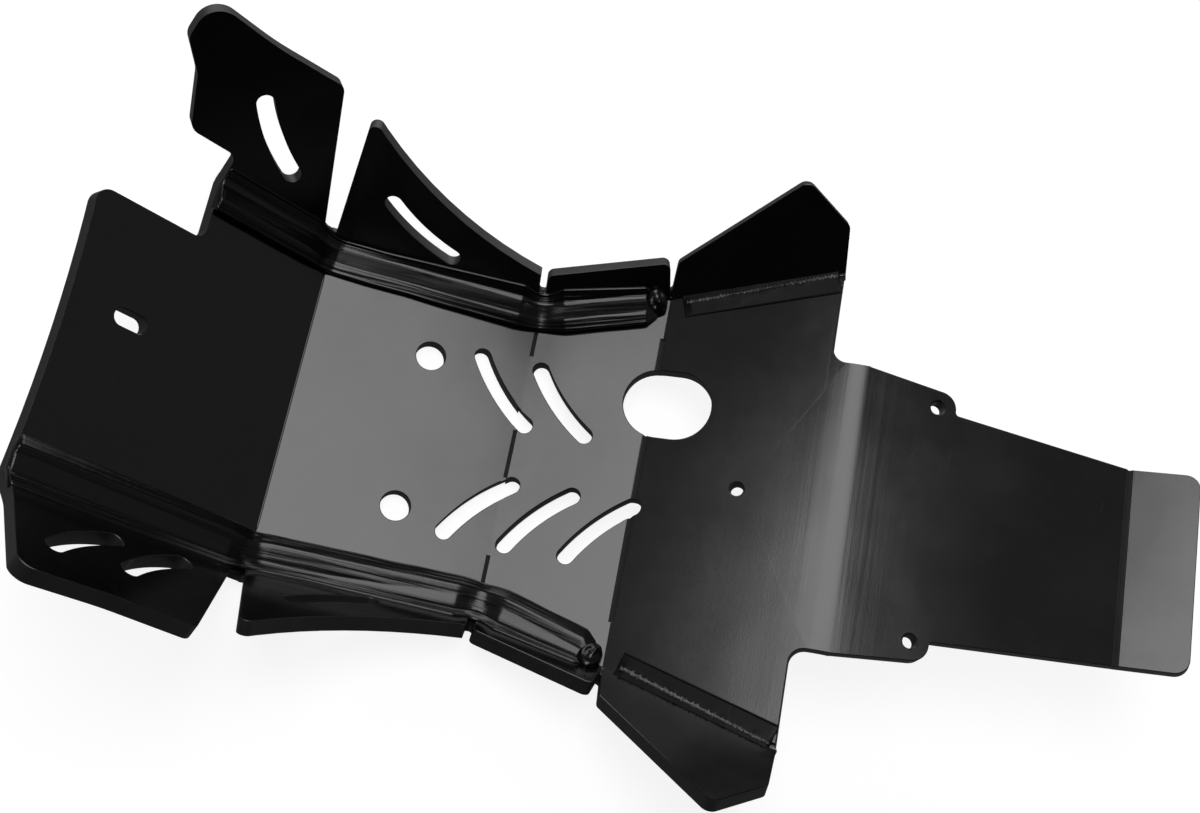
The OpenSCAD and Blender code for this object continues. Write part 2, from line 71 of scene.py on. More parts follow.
NODE = "skid_plate"
WHITE = (1.0, 1.0, 1.0, 1.0)
SEAM_CLOSED = 1e-7

Material = bpy.types.Material
Mesh = bmesh.types.BMesh
Node = bpy.types.Node
Pair = tuple[float, float]
Piece = bpy.types.Object
Place = Callable[[float, float], Vector]
Ring = tuple[float, float, float, float]
Socket = bpy.types.NodeSocket
Tree = bpy.types.NodeTree
Triple = tuple[float, float, float]


class Side(Enum):
    """The two sides of the plate, by the sign of their Y."""

    BITTEN = 1
    FULL = -1

    @property
    def word(self) -> str:
        """The side's name in the names of its pieces."""
        return self.name.lower()

    @property
    def swell(self) -> float:
        """How much higher the side's weld is for each millimetre of its tip's height."""
        return 0.55 if self is Side.BITTEN else 0.3


class Skin(Enum):
    """The surfaces of the sheet, by the material slot that they take."""

    PRESSED = 0
    CUT = 1


class LampShape(Enum):
    """The shapes of a lamp's face."""

    RECTANGLE = "RECTANGLE"
    ELLIPSE = "ELLIPSE"


@dataclass(frozen=True)
class PlateSizes:
    """Sizes of the folded sheet in millimetres, degrees for rises and folds."""

    sheet: float = 8.0
    front_length: float = 138.5
    front_rise: float = 35.0
    floor_length: float = 120.0
    ramp_length: float = 70.0
    ramp_rise: float = 13.5
    shoulder_length: float = 93.7
    shoulder_rise: float = 21.5
    front_half: float = 92.0
    floor_half: float = 90.0
    ramp_half: float = 105.0
    shoulder_half: float = 133.0
    front_wing_fold: float = 50.0
    middle_wing_fold: float = 60.0
    low_wing_fold: float = 55.0
    ear_fold: float = 42.0
    bite_start: float = 76.0
    notch_height: float = 5.5
    notch_rear: float = 16.5
    drain_x: float = 66.2
    seam: float = 0.2


@dataclass(frozen=True)
class Fold:
    """A fold line: the frame of its panel and the frame of its wing, along the line."""

    panel: Matrix
    wing: Matrix
    length: float

    @property
    def panel_up(self) -> Vector:
        """The way up from the panel's inner face."""
        return self.panel.to_3x3() @ Vector((0.0, 0.0, 1.0))

    @property
    def wing_up(self) -> Vector:
        """The way up from the wing's inner face."""
        return self.wing.to_3x3() @ Vector((0.0, 0.0, 1.0))


@dataclass(frozen=True)
class Station:
    """A cross-section of a weld: its toe on the panel, its tip on the wing, its root."""

    root: Vector
    toe: Vector
    tip: Vector
    panel_up: Vector
    wing_up: Vector

    def mixed(self, other: "Station", share: float) -> "Station":
        """A station between this one and another.

        Args:
            other: the next station of the same weld.
            share: how far toward it, from 0 to 1.

        Returns:
            The station in between.
        """
        return Station(
            self.root.lerp(other.root, share),
            self.toe.lerp(other.toe, share),
            self.tip.lerp(other.tip, share),
            self.panel_up.lerp(other.panel_up, share).normalized(),
            self.wing_up.lerp(other.wing_up, share).normalized(),
        )


class FoldLines:
    """The fold lines of the plate, worked out from its sizes as the CAD does."""

    def __init__(self, sizes: PlateSizes) -> None:
        """Builds the four fold lines of the bitten side.

        Args:
            sizes: the sizes of the folded sheet.
        """
        s = sizes
        self.sizes = sizes
        ramp = Vector((s.floor_length, 0.0))
        rise = math.radians(s.ramp_rise)
        shoulder = ramp + s.ramp_length * Vector((math.cos(rise), math.sin(rise)))
        backward = Matrix.Scale(-1.0, 4, Vector((1.0, 0.0, 0.0)))
        home = Matrix.Translation(Vector((-s.drain_x, 0.0, 0.0)))
        self.floor_frame = home @ self._slope(Vector((0.0, 0.0)), 0.0)
        self.ramp_frame = home @ self._slope(ramp, s.ramp_rise)
        self.shoulder_frame = home @ self._slope(shoulder, s.shoulder_rise)
        self.front_frame = home @ backward @ self._slope(Vector((0.0, 0.0)), s.front_rise)
        self.front = self._fold(
            self.front_frame, (0.0, s.front_half), (s.front_length, s.front_half), s.front_wing_fold
        )
        self.floor = self._fold(
            self.floor_frame,
            (0.0, s.front_half + s.seam),
            (s.floor_length, s.floor_half + s.seam),
            s.middle_wing_fold,
        )
        self.ramp = self._fold(
            self.ramp_frame, (0.0, s.floor_half), (s.ramp_length, s.ramp_half), s.low_wing_fold
        )
        self.shoulder = self._fold(
            self.shoulder_frame,
            (0.0, s.ramp_half + s.seam),
            (s.shoulder_length, s.shoulder_half + s.seam),
            s.ear_fold,
        )

    @staticmethod
    def _slope(crease: Vector, rise: float) -> Matrix:
        """The frame of a spine panel that starts at a crease and rises to the rear.

        Args:
            crease: where the panel starts, along X and Z.
            rise: its slope in degrees.

        Returns:
            The panel's frame.
        """
        turn = Matrix.Rotation(-math.radians(rise), 4, "Y")
        return Matrix.Translation(Vector((crease[0], 0.0, crease[1]))) @ turn

    @staticmethod
    def _fold(
        panel: Matrix, start: Pair, end: Pair, fold: float
    ) -> Fold:
        """A fold line over a panel from one point to another.

        Args:
            panel: the panel's frame.
            start: the line's first point on the panel.
            end: its last point.
            fold: the wing's fold in degrees.

        Returns:
            The fold line.
        """
        run = Vector(end) - Vector(start)
        line = Matrix.Translation(Vector((start[0], start[1], 0.0))) @ Matrix.Rotation(
            math.atan2(run.y, run.x), 4, "Z"
        )
        stood = Matrix.Rotation(math.radians(fold), 4, "X")
        return Fold(panel @ line, panel @ line @ stood, run.length)


def on_side(point: Vector, side: Side) -> Vector:
    """A point of the bitten side, carried to a side and into metres.

    Args:
        point: the point in millimetres.
        side: the side that it is wanted on.

    Returns:
        The point in metres.
    """
    return Vector((point.x, point.y * side.value, point.z)) * MM


def linked(name: str, data: bpy.types.ID) -> Piece:
    """Makes an object and puts it in the scene.

    Args:
        name: its name.
        data: its mesh, light or camera.

    Returns:
        The object.
    """
    made = bpy.data.objects.new(name, data)
    bpy.context.scene.collection.objects.link(made)
    return made


def patterned(
    pattern: Triple, along: float, across: float, side: int = 1
) -> float:
    """Reads a noise.

    Args:
        pattern: its length in millimetres, its bands across and its seed.
        along: the distance along it.
        across: the share of the way across it.
        side: the sign of the side.

    Returns:
        The noise, about 0 on the whole.
    """
    return noise.noise(Vector((along / pattern[0], across * pattern[1], pattern[2] * side)))


def finished(name: str, mesh: Mesh, materials: list[Material]) -> Piece:
    """Makes an object at the origin from a bmesh and rides it on the plate's body.

    Args:
        name: the piece's name.
        mesh: its shape in metres, which is freed.
        materials: its materials, in the order of their slots.

    Returns:
        The piece.
    """
    data = bpy.data.meshes.new(name)
    mesh.to_mesh(data)
    mesh.free()
    for material in materials:
        data.materials.append(material)
    piece = linked(name, data)
    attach(piece, BODY)
    LOG.info("%s: %d faces", name, len(data.polygons))
    return piece


def closed_sweep(along: int, around: int, place: Place, scale: Vector) -> Mesh:
    """Bends a grid into a closed tube whose rings a function places.

    Args:
        along: the number of steps along the run.
        around: the number of steps round each ring.
        place: gives the point at a share of the run and a share of the ring.
        scale: what the run and the ring measure, for the piece's UV map.

    Returns:
        The tube with its ends closed and its normals outward.
    """
    mesh = bmesh.new()
    bmesh.ops.create_grid(mesh, x_segments=along, y_segments=around, size=0.5)
    run = mesh.loops.layers.uv.new("run")
    for face in mesh.faces:
        face.smooth = True
        for loop in face.loops:
            loop[run].uv = (
                (loop.vert.co.x + 0.5) * scale[0],
                (loop.vert.co.y + 0.5) * scale[1],
            )
    for vert in mesh.verts:
        vert.co = place(vert.co.x + 0.5, (vert.co.y + 0.5) % 1.0)
    bmesh.ops.remove_doubles(mesh, verts=mesh.verts[:], dist=SEAM_CLOSED)
    rim = [edge for edge in mesh.edges if edge.is_boundary]
    bmesh.ops.holes_fill(mesh, edges=rim, sides=0)
    bmesh.ops.recalc_face_normals(mesh, faces=mesh.faces[:])
    return mesh


class Shader:
    """Builds node trees with few words."""

    def __init__(self, tree: Tree) -> None:
        """Starts on an emptied tree.

        Args:
            tree: the node tree of a material, a group or the world.
        """
        self.tree = tree
        tree.nodes.clear()

    def node(self, kind: str, inputs: dict | None = None, **settings: object) -> Node:
        """Adds a node, sets it up and links or fills its inputs.

        Args:
            kind: the node's type.
            inputs: for each input, a value or the socket that feeds it.
            settings: the node's own properties.

        Returns:
            The node.
        """
        made = self.tree.nodes.new(kind)
        for key, value in settings.items():
            setattr(made, key, value)
        for key, value in (inputs or {}).items():
            if isinstance(value, Socket):
                self.tree.links.new(value, made.inputs[key])
            else:
                made.inputs[key].default_value = value
        return made

    def noise(self, where: Socket, scale: object, detail: float = 2.0) -> Socket:
        """Adds a noise and returns its value.

        Args:
            where: the coordinates.
            scale: its scale, as a number or a socket.
            detail: its detail.

        Returns:
            The noise's value, about 0.5 on the whole.
        """
        made = self.node("ShaderNodeTexNoise", {"Vector": where, "Scale": scale, "Detail": detail})
        return made.outputs["Fac"]

    def span(self, value: Socket, source: tuple, target: tuple) -> Socket:
        """Maps one range of a value to another, held at the ends.

        Args:
            value: the value.
            source: the range that it has.
            target: the range that is wanted.

        Returns:
            The mapped value.
        """
        ends = {"From Min": source[0], "From Max": source[1]}
        ends |= {"To Min": target[0], "To Max": target[1]}
        return self.node("ShaderNodeMapRange", {"Value": value, **ends}).outputs["Result"]

    def math(self, how: str, first: object, second: object) -> Socket:
        """Joins two values.

        Args:
            how: the operation.
            first: a number or a socket.
            second: a number or a socket.

        Returns:
            The result.
        """
        return self.node("ShaderNodeMath", {0: first, 1: second}, operation=how).outputs[0]

    def mixed(self, first: Socket, second: Socket, shares: Pair) -> Socket:
        """Adds two values, each times its share.

        Args:
            first: the first value.
            second: the second value.
            shares: the share of each.

        Returns:
            The sum.
        """
        one = self.math("MULTIPLY", first, shares[0])
        return self.math("ADD", one, self.math("MULTIPLY", second, shares[1]))

    def stretched(self, where: Socket, scale: Triple) -> Socket:
        """Stretches coordinates.

        Args:
            where: the coordinates.
            scale: the scale on each axis.

        Returns:
            The stretched coordinates.
        """
        return self.node("ShaderNodeMapping", {"Vector": where, "Scale": scale}).outputs[0]


class Effects:
    """The shader node groups that the plate's materials share."""

    CLOUD_STEP = 7.0
    CLOUD_SHARES = (0.7, 0.3)
    CLOUD_RANGE = (0.36, 0.64)
    SWIRL_SCALE = 9.0
    SWIRL = 0.06
    SCRATCHES_ALONG = (30.0, 900.0, 900.0)
    SCRATCHES_ACROSS = (700.0, 40.0, 700.0)
    SCRATCH_RANGE = (0.70, 0.80)
    PATCH_SCALE = 14.0
    PATCH_RANGE = (0.45, 0.65)
    PATCH_LEAST = 0.15
    WAVE_SCALE = 16.0
    GRAIN_SHARES = (0.04, 0.96)
    DRAWN_FINE = (420.0, 9.0, 9.0)
    DRAWN_BROAD = (150.0, 4.0, 4.0)
    DRAWN_SHARES = (0.10, 0.22)
    NECK_RISE = (0.196, 0.214)
    NECK_FALL = (0.236, 0.262)
    NECK_LEAST = 0.1

    def __init__(self) -> None:
        """Builds the groups."""
        self.mottle = self._mottle()
        self.scuffs = self._scuffs()
        self.grain = self._grain()
        self.drawing = self._drawing()

    @staticmethod
    def _start(name: str, inputs: dict[str, str], output: str) -> tuple[Tree, Shader, Node]:
        """Starts a group with its sockets.

        Args:
            name: the group's name.
            inputs: the type of each input by its name.
            output: the name of its one output.

        Returns:
            The group, its builder and its input node.
        """
        tree = bpy.data.node_groups.new(name, "ShaderNodeTree")
        for key, kind in inputs.items():
            tree.interface.new_socket(key, in_out="INPUT", socket_type=kind)
        tree.interface.new_socket(output, in_out="OUTPUT", socket_type="NodeSocketFloat")
        shader = Shader(tree)
        return tree, shader, shader.node("NodeGroupInput")

    def _mottle(self) -> Tree:
        """Cloudy patches of handling and cleaning, at two sizes.

        Returns:
            The group, with a value from 0 to 1.
        """
        tree, shader, start = self._start(
            "mottle", {"Vector": "NodeSocketVector", "Scale": "NodeSocketFloat"}, "Cloud"
        )
        where, scale = start.outputs["Vector"], start.outputs["Scale"]
        large = shader.noise(where, scale, 3.0)
        small = shader.noise(where, shader.math("MULTIPLY", scale, self.CLOUD_STEP), 4.0)
        both = shader.mixed(large, small, self.CLOUD_SHARES)
        cloud = shader.span(both, self.CLOUD_RANGE, (0.0, 1.0))
        shader.node("NodeGroupOutput", {"Cloud": cloud})
        return tree

    def _scuffs(self) -> Tree:
        """Sparse fine scratches that run every way.

        Returns:
            The group, with a mask from 0 to 1.
        """
        tree, shader, start = self._start(
            "scuffs", {"Vector": "NodeSocketVector", "Amount": "NodeSocketFloat"}, "Mask"
        )
        where, amount = start.outputs["Vector"], start.outputs["Amount"]
        pattern = {"Vector": where, "Scale": self.SWIRL_SCALE, "Detail": 1.0}
        swirl = shader.node("ShaderNodeTexNoise", pattern).outputs["Color"]
        moved = {0: swirl, "Scale": self.SWIRL}
        bent = shader.node("ShaderNodeVectorMath", moved, operation="SCALE").outputs[0]
        bent = shader.node("ShaderNodeVectorMath", {0: where, 1: bent}, operation="ADD").outputs[0]
        long = shader.noise(shader.stretched(bent, self.SCRATCHES_ALONG), 1.0, 1.0)
        cross = shader.noise(shader.stretched(bent, self.SCRATCHES_ACROSS), 1.0, 1.0)
        lines = shader.math("MAXIMUM", long, cross)
        lines = shader.span(lines, self.SCRATCH_RANGE, (0.0, 1.0))
        patches = shader.noise(where, self.PATCH_SCALE)
        patches = shader.span(patches, self.PATCH_RANGE, (self.PATCH_LEAST, 1.0))
        mask = shader.math("MULTIPLY", shader.math("MULTIPLY", lines, patches), amount)
        shader.node("NodeGroupOutput", {"Mask": mask})
        return tree

    def _grain(self) -> Tree:
        """The fine orange peel of pressed sheet over its long slow waves.

        Returns:
            The group, with a height about 0.5 on the whole.
        """
        tree, shader, start = self._start(
            "grain", {"Vector": "NodeSocketVector", "Fineness": "NodeSocketFloat"}, "Height"
        )
        where, fineness = start.outputs["Vector"], start.outputs["Fineness"]
        fine = shader.noise(where, fineness, 2.0)
        slow = shader.noise(where, self.WAVE_SCALE, 1.0)
        height = shader.mixed(fine, slow, self.GRAIN_SHARES)
        shader.node("NodeGroupOutput", {"Height": height})
        return tree

    def _drawing(self) -> Tree:
        """Fine lines across the sheet where the neck's bend has stretched its skin.

        Returns:
            The group, with a height about 0 on the whole.
        """
        tree, shader, start = self._start("drawing", {"Vector": "NodeSocketVector"}, "Height")
        where = start.outputs["Vector"]
        lines = shader.noise(shader.stretched(where, self.DRAWN_FINE), 1.0, 2.0)
        folds = shader.noise(shader.stretched(where, self.DRAWN_BROAD), 1.0, 1.0)
        along = shader.node("ShaderNodeSeparateXYZ", {"Vector": where}).outputs["X"]
        rise = shader.span(along, self.NECK_RISE, (self.NECK_LEAST, 1.0))
        fall = shader.span(along, self.NECK_FALL, (1.0, self.NECK_LEAST))
        both = shader.mixed(lines, folds, self.DRAWN_SHARES)
        height = shader.math("MULTIPLY", both, shader.math("MULTIPLY", rise, fall))
        shader.node("NodeGroupOutput", {"Height": height})
        return tree


@dataclass(frozen=True)
class Finish:
    """A black plastic finish: its tones, its gloss and the depth of its relief."""

    name: str
    dark: float
    pale: float
    gloss: Pair
    scuff: float
    relief: float
    fineness: float
    streaked: bool = False
    drawn: float = 0.0
    specular: float = 0.5
    cloud_scale: float = 17.0
    mark_tone: float = 0.02
    mark_dull: float = 0.12
    streaks: Triple = (14.0, 900.0, 1.0)
    streak_height: float = 0.25
    streak_range: Pair = (0.3, 0.7)
    streak_cloud: Pair = (0.4, 0.6)
    index: float = 1.51

    def material(self, effects: Effects) -> Material:
        """Builds the finish.

        Args:
            effects: the shared node groups.

        Returns:
            The material.
        """
        made = bpy.data.materials.new(self.name)
        made.use_nodes = True
        shader = Shader(made.node_tree)
        where = shader.node("ShaderNodeTexCoord").outputs["Object"]
        group = "ShaderNodeGroup"
        patches = {"Vector": where, "Scale": self.cloud_scale}
        cloud = shader.node(group, patches, node_tree=effects.mottle).outputs["Cloud"]
        scratches = {"Vector": where, "Amount": self.scuff}
        marks = shader.node(group, scratches, node_tree=effects.scuffs).outputs["Mask"]
        peel = {"Vector": where, "Fineness": self.fineness}
        height = shader.node(group, peel, node_tree=effects.grain).outputs["Height"]
        if self.streaked:
            run = shader.node("ShaderNodeUVMap", uv_map="run").outputs["UV"]
            streaks = shader.noise(shader.stretched(run, self.streaks), 1.0, 3.0)
            raised = shader.math("MULTIPLY", streaks, self.streak_height)
            height = shader.math("ADD", height, raised)
            kept = shader.math("MULTIPLY", cloud, self.streak_cloud[0])
            cloud = shader.span(streaks, self.streak_range, (0.0, self.streak_cloud[1]))
            cloud = shader.math("ADD", kept, cloud)
        if self.drawn:
            pulled = shader.node(group, {"Vector": where}, node_tree=effects.drawing)
            pulled = shader.math("MULTIPLY", pulled.outputs["Height"], self.drawn)
            height = shader.math("ADD", height, pulled)
        tone = shader.span(cloud, (0.0, 1.0), (self.dark, self.pale))
        tone = shader.math("ADD", tone, shader.math("MULTIPLY", marks, self.mark_tone))
        rough = shader.span(cloud, (0.0, 1.0), self.gloss)
        rough = shader.math("ADD", rough, shader.math("MULTIPLY", marks, self.mark_dull))
        tint = shader.node("ShaderNodeCombineColor", {"Red": tone, "Green": tone, "Blue": tone})
        depth = {"Height": height, "Strength": 1.0, "Distance": self.relief}
        bump = shader.node("ShaderNodeBump", depth)
        surface = shader.node(
            "ShaderNodeBsdfPrincipled",
            {
                "Base Color": tint.outputs["Color"],
                "Roughness": rough,
                "IOR": self.index,
                "Specular IOR Level": self.specular,
                "Normal": bump.outputs["Normal"],
            },
        )
        shader.node("ShaderNodeOutputMaterial", {"Surface": surface.outputs["BSDF"]})
        return made


PRESSED = Finish("pressed_sheet", 0.0015, 0.0028, (0.14, 0.18), 0.35, 0.0004, 1100.0, drawn=0.55)
CUT = Finish("cut_edge", 0.007, 0.014, (0.40, 0.50), 0.3, 0.0003, 1500.0, specular=0.85)
EXTRUDED = Finish(
    "weld_bead", 0.0015, 0.003, (0.15, 0.23), 0.1, 0.0004, 1300.0, streaked=True, specular=0.37
)
SCORED = Finish("scored_band", 0.0015, 0.006, (0.30, 0.45), 0.9, 0.0005, 1800.0, specular=0.09)
BURRED = Finish("burr", 0.02, 0.12, (0.30, 0.45), 0.0, 0.0004, 2500.0)


@dataclass
class FoldedSheet:
    """The sheet itself: the CAD's shape with its sharp edges broken."""

    sizes: PlateSizes
    break_width: float = 0.4
    thinnest: float = 0.6
    sharp: float = 25.0
    flat: float = 0.4
    smooth: float = 7.75
    broad: float = 9.0
    merge: float = 0.002
    sliver: float = 0.03
    leftover: float = 0.01
    lift: float = 0.05
    cut_depth: float = 1.1
    level: float = 0.9997
    neck: Pair = (207.0, 237.0)

    def _broken_edges(self, mesh: Mesh) -> list[bmesh.types.BMEdge]:
        """The convex edges that a tool has broken.

        Args:
            mesh: the merged sheet.

        Returns:
            Its edges, but for those along faces that are too thin.
        """
        least = self.thinnest * MM
        turn = math.radians(self.sharp)
        wanted = []
        for edge in mesh.edges:
            if len(edge.link_faces) != 2 or edge.calc_face_angle_signed(0.0) < turn:
                continue
            length = edge.calc_length()
            if all(face.calc_area() / length > least for face in edge.link_faces):
                wanted.append(edge)
        return wanted

    def _mark_cuts(self, mesh: Mesh) -> None:
        """Gives the cut edges of the sheet their own slot, by how deep it is behind a face.

        Args:
            mesh: the sheet.
        """
        tree = BVHTree.FromBMesh(mesh)
        least = self.cut_depth * self.sizes.sheet * MM
        for face in mesh.faces:
            start = face.calc_center_median() - face.normal * self.lift * MM
            depth = tree.ray_cast(start, -face.normal)[3] or 0.0
            face.material_index = (Skin.CUT if depth > least else Skin.PRESSED).value

    def _shade(self, mesh: Mesh) -> None:
        """Shades the panels flat, and the bends, holes and broken edges smooth.

        Args:
            mesh: the sheet.
        """
        panels = []
        for face in mesh.faces:
            longest = max(edge.calc_length() for edge in face.edges)
            if face.calc_area() / longest > self.broad * MM:
                panels.append(face.normal.copy())
        low, high = (self.neck[0] - self.leftover) * MM, (self.neck[1] + self.leftover) * MM
        for face in mesh.faces:
            bent = all(low <= vert.co.x <= high for vert in face.verts)
            level = any(face.normal.dot(normal) > self.level for normal in panels)
            face.smooth = bent or not level
        for edge in mesh.edges:
            edge.smooth = edge.calc_face_angle(math.pi) < math.radians(self.smooth)

    def build(self, materials: list[Material]) -> Piece:
        """Builds the sheet from a copy of the CAD node.

        Args:
            materials: the pressed and the cut finish.

        Returns:
            The piece, which stands for the CAD node.
        """
        mesh = bmesh.new()
        mesh.from_mesh(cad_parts[NODE].data)
        bmesh.ops.remove_doubles(mesh, verts=mesh.verts[:], dist=self.merge * MM)
        bmesh.ops.dissolve_degenerate(mesh, edges=mesh.edges[:], dist=self.sliver * MM)
        bmesh.ops.dissolve_limit(
            mesh,
            angle_limit=math.radians(self.flat),
            verts=mesh.verts[:],
            edges=mesh.edges[:],
            use_dissolve_boundaries=False,
        )
        self._mark_cuts(mesh)
        bmesh.ops.bevel(
            mesh,
            geom=self._broken_edges(mesh),
            offset=self.break_width * MM,
            offset_type="OFFSET",
            segments=2,
            profile=0.5,
            affect="EDGES",
            clamp_overlap=False,
            material=-1,
        )
        bmesh.ops.dissolve_degenerate(mesh, edges=mesh.edges[:], dist=self.leftover * MM)
        for x in self.neck:
            bmesh.ops.bisect_plane(
                mesh,
                geom=mesh.verts[:] + mesh.edges[:] + mesh.faces[:],
                plane_co=Vector((x * MM, 0.0, 0.0)),
                plane_no=Vector((1.0, 0.0, 0.0)),
            )
        self._shade(mesh)
        piece = finished("folded_sheet", mesh, materials)
        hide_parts(NODE)
        return piece


def eased(table: tuple[Pair, ...], at: float) -> float:
    """Reads a table of points along one smooth curve.

    Args:
        table: the points, by rising first number.
        at: where the curve is read.

    Returns:
        The curve's value there.
    """
    last = len(table) - 2
    i = min(last, max([0] + [k for k, point in enumerate(table) if point[0] <= at]))

    def lean(k: int) -> float:
        """The curve's slope at a point."""
        before, after = table[max(0, k - 1)], table[min(last + 1, k + 1)]
        return (after[1] - before[1]) / (after[0] - before[0])

    (x0, y0), (x1, y1) = table[i], table[i + 1]
    width = x1 - x0
    t = min(1.0, max(0.0, (at - x0) / width))
    t2, t3 = t * t, t * t * t
    return (
        (2 * t3 - 3 * t2 + 1) * y0
        + (t3 - 2 * t2 + t) * width * lean(i)
        + (3 * t2 - 2 * t3) * y1
        + (t3 - t2) * width * lean(i + 1)
    )


@dataclass
class WeldBead:
    """The extruded weld along the inside of one side's folds."""

    side: Side
    lines: FoldLines
    leg: float = 16.0
    height: float = 9.0
    front_height: float = 12.0
    crown: float = 0.8
    bulge: float = 1.6
    dip: float = 0.8
    root: float = 3.0
    sink: float = 0.3
    cover: float = 0.4
    spread: float = 0.6
    streak: float = 0.1
    wander: float = 0.8
    nose: float = 2.4
    pinch: float = 0.25
    pinch_width: float = 5.0
    blend: float = 6.0
    rim: float = 0.04
    short: float = 1.0
    tail_gap: float = 6.0
    tail_steps: Triple = (8.0, 2.0, 0.0)
    crease_run: float = 12.0
    creases: tuple[int, int] = (2, 5)
    base: Pair = (3.8, 4.9)
    toe_shift: Pair = (0.5, 0.25)
    heart: float = 1.5
    nose_range: Pair = (0.35, 0.65)
    drift: Triple = (22.0, 0.0, 5.0)
    flow: Triple = (60.0, 13.0, 3.0)
    fine_flow: Triple = (30.0, 31.0, 9.0)
    ripple: Triple = (3.5, 1.5, 7.0)
    uv_width: float = 0.035
    along: int = 300
    top: int = 60
    under: int = 8
    flank: tuple[Pair, ...] = (
        (0.0, 0.0),
        (0.35, 0.5),
        (0.9, 0.69),
        (2.0, 0.76),
        (4.0, 0.88),
        (5.6, 0.97),
        (6.4, 1.0),
        (7.0, 0.99),
    )
    back: tuple[Pair, ...] = ((8.6, -0.5), (11.4, -1.5), (14.0, -2.4))
    brink: tuple[Pair, ...] = ((-2.0, -0.5), (-1.0, 0.2), (-0.3, 0.15), (0.0, 0.0))
    tail: tuple[Triple, ...] = (
        (0.8, 1.0, 1.0),
        (0.6, 0.7, 0.6),
        (0.4, 0.5, 0.3),
    )
    stations: list[Station] = field(default_factory=list)
    shares: list[float] = field(default_factory=list)
    reaches: list[float] = field(default_factory=list)

    def __post_init__(self) -> None:
        """Places the stations of the weld as the CAD does."""
        s, lines = self.lines.sizes, self.lines
        low = self.dip * s.notch_height
        start, first = s.front_length - self.short, self.front_height
        if self.side is Side.BITTEN:
            start, first = s.bite_start - self.short, self.height
        end = lines.ramp.length - self.tail_gap
        self.stations = [
            self._station(lines.front, start, self.leg, first),
            self._station(lines.front, s.notch_rear, self.leg, self.height),
            self._mitre(
                self._station(lines.front, 0.0, self.leg, low),
                self._station(lines.floor, 0.0, self.leg, low),
            ),
            self._station(lines.floor, s.floor_length / 4.0, self.leg, low),
            self._station(lines.floor, s.floor_length - self.crease_run, self.leg, self.height),
            self._mitre(
                self._station(lines.floor, lines.floor.length, self.leg, low),
                self._station(lines.ramp, 0.0, self.leg, low),
            ),
            self._station(lines.ramp, self.crease_run, self.leg, self.height),
        ] + [
            self._station(lines.ramp, end - step, share[0] * self.leg, share[1] * self.height)
            for step, share in zip(self.tail_steps, self.tail)
        ]
        self.shares = [1.0] * (len(self.stations) - len(self.tail))
        self.shares += [share[2] for share in self.tail]
        self.reaches = [0.0]
        for one, two in zip(self.stations, self.stations[1:]):
            self.reaches.append(self.reaches[-1] + (two.root - one.root).length)

    def _station(self, line: Fold, s: float, leg: float, height: float) -> Station:
        """A station across a fold line.

        Args:
            line: the fold line.
            s: the distance along it.
            leg: the weld's width on the panel.
            height: its height on the wing.

        Returns:
            The station.
        """
        return Station(
            line.panel @ Vector((s, 0.0, 0.0)),
            line.panel @ Vector((s, -leg - self.spread, 0.0)),
            line.wing @ Vector((s, height + self.spread, 0.0)),
            line.panel_up,
            line.wing_up,
        )

    @staticmethod
    def _mitre(one: Station, two: Station) -> Station:
        """The station in a crease, halfway between those of the folds that meet there.

        Args:
            one: the station of the first fold.
            two: the station of the second.

        Returns:
            The station between them, on the first one's root.
        """
        half = one.mixed(two, 0.5)
        return Station(one.root, half.toe, half.tip, half.panel_up, half.wing_up)

    def _at(self, reach: float) -> tuple[Station, float]:
        """The station and its share of fullness, with the mitres smoothed over.

        Args:
            reach: the distance from the front end.

        Returns:
            The station and the share.
        """
        near = min(abs(reach - self.reaches[k]) for k in self.creases)
        if near >= self.blend:
            return self._exact(reach)
        at, share = self._exact(reach)
        for count, part in enumerate((-1.0, -0.5, 0.5, 1.0), start=1):
            other, its = self._exact(reach + part * self.blend)
            at, share = at.mixed(other, 1.0 / (count + 1)), share + (its - share) / (count + 1)
        return at, share

    def _exact(self, reach: float) -> tuple[Station, float]:
        """The station and its share of fullness, with the mitres left sharp.

        Args:
            reach: the distance from the front end.

        Returns:
            The station and the share.
        """
        last = len(self.stations) - 2
        i = min(last, max(i for i, r in enumerate(self.reaches) if r <= reach + 1e-9))
        t = (reach - self.reaches[i]) / (self.reaches[i + 1] - self.reaches[i])
        return (
            self.stations[i].mixed(self.stations[i + 1], t),
            self.shares[i] * (1.0 - t) + self.shares[i + 1] * t,
        )

